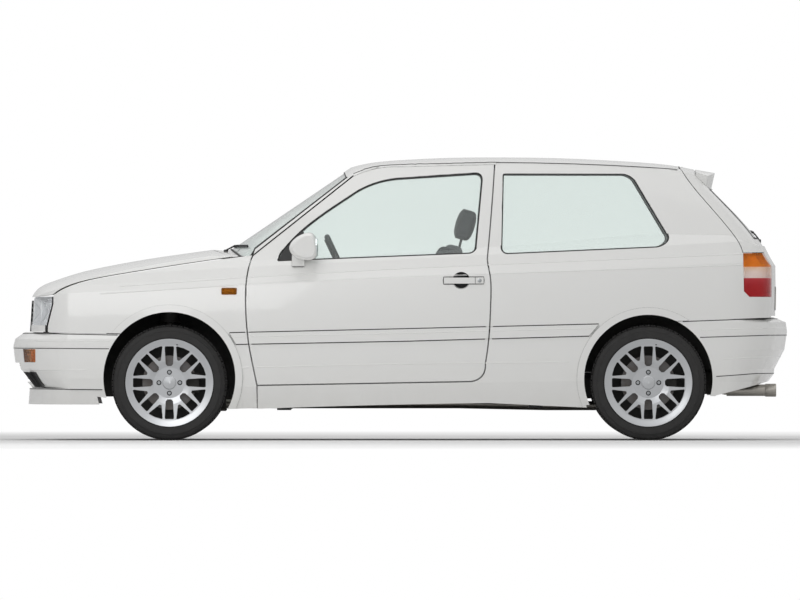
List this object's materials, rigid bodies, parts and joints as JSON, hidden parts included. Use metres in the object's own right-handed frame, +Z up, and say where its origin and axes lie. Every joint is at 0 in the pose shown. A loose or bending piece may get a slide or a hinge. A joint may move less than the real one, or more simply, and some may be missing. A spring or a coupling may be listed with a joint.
{
  "type": "rally car",
  "caption": "Three-door hatchback car with opening doors, bonnet and tailgate, steered front wheels and a hollow furnished cabin.",
  "frame": {"origin": "centre of the footprint on the ground plane", "axes": "+X towards the rear, +Y towards the car's right side, +Z up"},
  "size_m": [4.0199, 1.81, 1.4659],
  "materials": {
    "body_paint": "solid white gloss paint",
    "bumper_paint": "white paint on moulded bumpers",
    "clear_glass": "clear polished glass",
    "lamp_glass": "ribbed lamp glass",
    "red_lens": "red moulded lens",
    "dark_grille": "matt dark grille plastic",
    "cabin_plastic": "grained cabin moulding",
    "seat_cloth": "woven grey seat cloth",
    "steel_parts": "black chassis paint",
    "underbody": "grey underbody coating",
    "cast_block": "bare casting",
    "exhaust_steel": "stainless steel",
    "tyre_rubber": "black tyre rubber",
    "wheel_alloy": "silver cast alloy",
    "disc_iron": "machined friction faces",
    "tank_plastic": "black moulded tank",
    "window_rubber": "extruded black window seal",
    "mirror_glass": "silvered mirror glass",
    "carpet": "needle-felt carpet",
    "amber_lens": "amber moulded lens"
  },
  "bodies": {
    "shell": {"body_side_left": "body_paint", "body_side_right": "body_paint", "floor_pan": "underbody", "front_structure": "underbody", "roof_panel": "body_paint", "cowl_panel": "body_paint", "fender_left": "body_paint", "fender_right": "body_paint", "windscreen": "clear_glass", "quarter_windows": "clear_glass", "front_bumper": "bumper_paint", "rear_bumper": "bumper_paint", "headlamps": "lamp_glass", "grille": "dark_grille", "tail_lamps": "red_lens", "dashboard": "cabin_plastic", "front_seats": "seat_cloth", "rear_seat": "seat_cloth", "front_subframe": "steel_parts", "rear_axle": "steel_parts", "engine_block": "cast_block", "fuel_tank": "tank_plastic", "exhaust": "exhaust_steel"},
    "left_door": {"door_left": "body_paint", "door_glass_left": "clear_glass", "mirror_left": "body_paint"},
    "right_door": {"door_right": "body_paint", "door_glass_right": "clear_glass", "mirror_right": "body_paint"},
    "bonnet_lid": {"bonnet": "body_paint"},
    "tail_lid": {"tailgate": "body_paint", "tailgate_glass": "clear_glass", "roof_spoiler": "body_paint"},
    "steering": {"steering_wheel": "cabin_plastic"},
    "left_knuckle": {"knuckle_left": "steel_parts"},
    "right_knuckle": {"knuckle_right": "steel_parts"},
    "wheel_front_left": {"tyre_front_left": "tyre_rubber", "rim_front_left": "wheel_alloy", "brake_disc_front_left": "disc_iron"},
    "wheel_front_right": {"tyre_front_right": "tyre_rubber", "rim_front_right": "wheel_alloy", "brake_disc_front_right": "disc_iron"},
    "wheel_rear_left": {"tyre_rear_left": "tyre_rubber", "rim_rear_left": "wheel_alloy", "brake_disc_rear_left": "disc_iron"},
    "wheel_rear_right": {"tyre_rear_right": "tyre_rubber", "rim_rear_right": "wheel_alloy", "brake_disc_rear_right": "disc_iron"}
  },
  "joints": [
    {"name": "steer_left", "type": "hinge", "parent": "shell", "child": "left_knuckle", "pos_m": [-1.193, -0.64, 0.165], "axis": [0, 0.1463, 0.9892], "range_deg": [-33, 33]},
    {"name": "steer_right", "type": "hinge", "parent": "shell", "child": "right_knuckle", "pos_m": [-1.193, 0.64, 0.165], "axis": [0, -0.1463, 0.9892], "range_deg": [-33, 33]},
    {"name": "steering_wheel_turn", "type": "hinge", "parent": "shell", "child": "steering", "pos_m": [-0.306, -0.36, 0.895], "axis": [0.9063, 0, 0.4226], "range_deg": [-495, 495]},
    {"name": "door_left_hinge", "type": "hinge", "parent": "shell", "child": "left_door", "pos_m": [-0.758, -0.828, 0.6], "axis": [0, 0, -1], "range_deg": [0, 62]},
    {"name": "door_right_hinge", "type": "hinge", "parent": "shell", "child": "right_door", "pos_m": [-0.758, 0.828, 0.6], "axis": [0, 0, 1], "range_deg": [0, 62]},
    {"name": "bonnet_hinge", "type": "hinge", "parent": "shell", "child": "bonnet_lid", "pos_m": [-0.85, 0, 0.957], "axis": [0, 1, 0], "range_deg": [0, 50]},
    {"name": "tailgate_hinge", "type": "hinge", "parent": "shell", "child": "tail_lid", "pos_m": [1.4465, 0, 1.416], "axis": [0, -1, 0], "range_deg": [0, 80]},
    {"name": "wheel_front_left_spin", "type": "hinge", "parent": "left_knuckle", "child": "wheel_front_left", "pos_m": [-1.193, -0.715, 0.298], "axis": [0, 1, 0], "continuous": true},
    {"name": "wheel_front_right_spin", "type": "hinge", "parent": "right_knuckle", "child": "wheel_front_right", "pos_m": [-1.193, 0.715, 0.298], "axis": [0, 1, 0], "continuous": true},
    {"name": "wheel_rear_left_spin", "type": "hinge", "parent": "shell", "child": "wheel_rear_left", "pos_m": [1.282, -0.715, 0.298], "axis": [0, 1, 0], "continuous": true},
    {"name": "wheel_rear_right_spin", "type": "hinge", "parent": "shell", "child": "wheel_rear_right", "pos_m": [1.282, 0.715, 0.298], "axis": [0, 1, 0], "continuous": true}
  ],
  "couplings": [
    {"joint": "steer_right", "follows": "steer_left", "ratio": 1},
    {"joint": "steering_wheel_turn", "follows": "steer_left", "ratio": 15}
  ]
}
